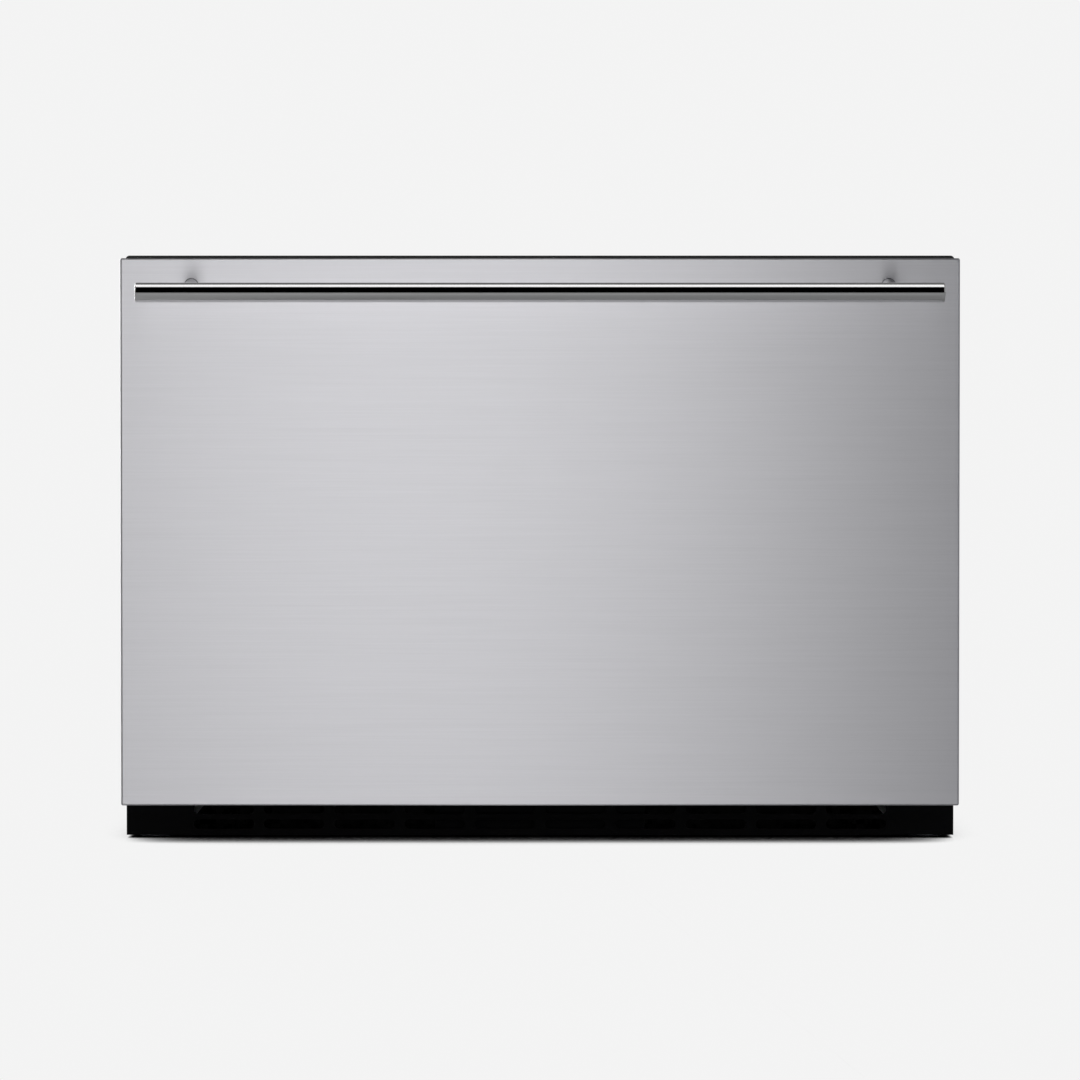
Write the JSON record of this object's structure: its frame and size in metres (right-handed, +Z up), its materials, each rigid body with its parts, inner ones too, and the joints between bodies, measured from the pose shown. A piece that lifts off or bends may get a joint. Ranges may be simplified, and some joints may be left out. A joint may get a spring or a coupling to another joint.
{
  "type": "under counter refrigerator",
  "caption": "Under-counter refrigerator with one full-width drawer on telescopic slides, a brushed steel front, a round bar handle and a slotted kick grille.",
  "frame": {"origin": "on the floor, under the middle of the closed refrigerator's box, handle bar included", "axes": "+X to the right of a person facing the drawer, +Y from the drawer to the back, +Z up"},
  "size_m": [0.6, 0.613, 0.422],
  "materials": {
    "brushed_steel": "satin",
    "polished_steel": "polished",
    "black_enamel": "satin",
    "galvanised_steel": "matte",
    "zinc_plated_steel": "satin",
    "liner_plastic": "satin",
    "insulating_foam": "matte",
    "gasket_rubber": "matte",
    "black_plastic": "satin",
    "clear_plastic": "gloss",
    "display_glass": "gloss",
    "copper_tube": "satin",
    "aluminium_fin": "satin"
  },
  "bodies": {
    "cabinet": {"outer_shell": "black_enamel", "underside_panel": "galvanised_steel", "back_panel": "galvanised_steel", "foam_insulation": "insulating_foam", "inner_liner": "liner_plastic", "front_frame": "black_enamel", "kick_grille": "black_enamel", "air_divider": "galvanised_steel", "machine_plate": "galvanised_steel", "rear_cover": "galvanised_steel", "compressor": "black_enamel", "compressor_relay_cover": "black_plastic", "condenser_coil": "aluminium_fin", "condenser_fan_shroud": "black_plastic", "condenser_fan_motor": "galvanised_steel", "filter_drier": "copper_tube", "discharge_pipe": "copper_tube", "capillary_tube": "copper_tube", "suction_pipe": "copper_tube", "drain_pan": "black_plastic", "drain_hose": "gasket_rubber", "power_inlet": "black_plastic", "evaporator_coil": "aluminium_fin", "evaporator_cover": "liner_plastic", "evaporator_fan_frame": "black_plastic", "lamp_housing": "liner_plastic", "lamp_lens": "clear_plastic", "control_panel": "black_plastic", "control_display": "display_glass", "base_rail_left": "galvanised_steel", "base_rail_right": "galvanised_steel", "slide_outer_left": "zinc_plated_steel", "slide_outer_right": "zinc_plated_steel"},
    "drawer": {"drawer_front_skin": "brushed_steel", "drawer_front_foam": "insulating_foam", "drawer_front_liner": "liner_plastic", "drawer_gasket": "gasket_rubber", "handle_bar": "polished_steel", "drawer_bin": "brushed_steel", "handle_post_left": "polished_steel", "drawer_bracket_left": "zinc_plated_steel", "slide_inner_left": "zinc_plated_steel", "handle_post_right": "polished_steel", "drawer_bracket_right": "zinc_plated_steel", "slide_inner_right": "zinc_plated_steel"},
    "slide_middle_left": {"slide_middle_left": "zinc_plated_steel"},
    "ball_cage_outer_left": {"ball_cage_outer_left": "zinc_plated_steel"},
    "ball_cage_inner_left": {"ball_cage_inner_left": "zinc_plated_steel"},
    "slide_middle_right": {"slide_middle_right": "zinc_plated_steel"},
    "ball_cage_outer_right": {"ball_cage_outer_right": "zinc_plated_steel"},
    "ball_cage_inner_right": {"ball_cage_inner_right": "zinc_plated_steel"},
    "condenser_fan": {"condenser_fan_rotor": "black_plastic"},
    "evaporator_fan": {"evaporator_fan_rotor": "black_plastic"},
    "button_power": {"button_power": "black_plastic"},
    "button_warmer": {"button_warmer": "black_plastic"},
    "button_colder": {"button_colder": "black_plastic"},
    "leg_front_left": {"leg_front_left": "zinc_plated_steel"},
    "leg_front_right": {"leg_front_right": "zinc_plated_steel"},
    "leg_rear_left": {"leg_rear_left": "zinc_plated_steel"},
    "leg_rear_right": {"leg_rear_right": "zinc_plated_steel"}
  },
  "joints": [
    {"name": "drawer_slide", "type": "slide", "parent": "cabinet", "child": "drawer", "axis": [0, -1, 0], "range_m": [0, 0.32]},
    {"name": "slide_middle_left_slide", "type": "slide", "parent": "cabinet", "child": "slide_middle_left", "axis": [0, -1, 0], "range_m": [0, 0.16]},
    {"name": "ball_cage_outer_left_slide", "type": "slide", "parent": "cabinet", "child": "ball_cage_outer_left", "axis": [0, -1, 0], "range_m": [0, 0.08]},
    {"name": "ball_cage_inner_left_slide", "type": "slide", "parent": "cabinet", "child": "ball_cage_inner_left", "axis": [0, -1, 0], "range_m": [0, 0.24]},
    {"name": "slide_middle_right_slide", "type": "slide", "parent": "cabinet", "child": "slide_middle_right", "axis": [0, -1, 0], "range_m": [0, 0.16]},
    {"name": "ball_cage_outer_right_slide", "type": "slide", "parent": "cabinet", "child": "ball_cage_outer_right", "axis": [0, -1, 0], "range_m": [0, 0.08]},
    {"name": "ball_cage_inner_right_slide", "type": "slide", "parent": "cabinet", "child": "ball_cage_inner_right", "axis": [0, -1, 0], "range_m": [0, 0.24]},
    {"name": "condenser_fan_spin", "type": "hinge", "parent": "cabinet", "child": "condenser_fan", "pos_m": [0.109, 0.234, 0.1], "axis": [1, 0, 0], "continuous": true},
    {"name": "evaporator_fan_spin", "type": "hinge", "parent": "cabinet", "child": "evaporator_fan", "pos_m": [0, 0.142, 0.328], "axis": [0, 1, 0], "continuous": true},
    {"name": "button_power_press", "type": "slide", "parent": "cabinet", "child": "button_power", "axis": [0, 1, 0], "range_m": [0, 0.001], "stiffness_N_per_m": 400, "springref_m": -0.0005},
    {"name": "button_warmer_press", "type": "slide", "parent": "cabinet", "child": "button_warmer", "axis": [0, 1, 0], "range_m": [0, 0.001], "stiffness_N_per_m": 400, "springref_m": -0.0005},
    {"name": "button_colder_press", "type": "slide", "parent": "cabinet", "child": "button_colder", "axis": [0, 1, 0], "range_m": [0, 0.001], "stiffness_N_per_m": 400, "springref_m": -0.0005},
    {"name": "leg_front_left_adjust", "type": "slide", "parent": "cabinet", "child": "leg_front_left", "axis": [0, 0, -1], "range_m": [0, 0.012]},
    {"name": "leg_front_right_adjust", "type": "slide", "parent": "cabinet", "child": "leg_front_right", "axis": [0, 0, -1], "range_m": [0, 0.012]},
    {"name": "leg_rear_left_adjust", "type": "slide", "parent": "cabinet", "child": "leg_rear_left", "axis": [0, 0, -1], "range_m": [0, 0.012]},
    {"name": "leg_rear_right_adjust", "type": "slide", "parent": "cabinet", "child": "leg_rear_right", "axis": [0, 0, -1], "range_m": [0, 0.012]}
  ],
  "couplings": [
    {"joint": "slide_middle_left_slide", "follows": "drawer_slide", "ratio": 0.5},
    {"joint": "ball_cage_outer_left_slide", "follows": "drawer_slide", "ratio": 0.25},
    {"joint": "ball_cage_inner_left_slide", "follows": "drawer_slide", "ratio": 0.75},
    {"joint": "slide_middle_right_slide", "follows": "drawer_slide", "ratio": 0.5},
    {"joint": "ball_cage_outer_right_slide", "follows": "drawer_slide", "ratio": 0.25},
    {"joint": "ball_cage_inner_right_slide", "follows": "drawer_slide", "ratio": 0.75}
  ]
}
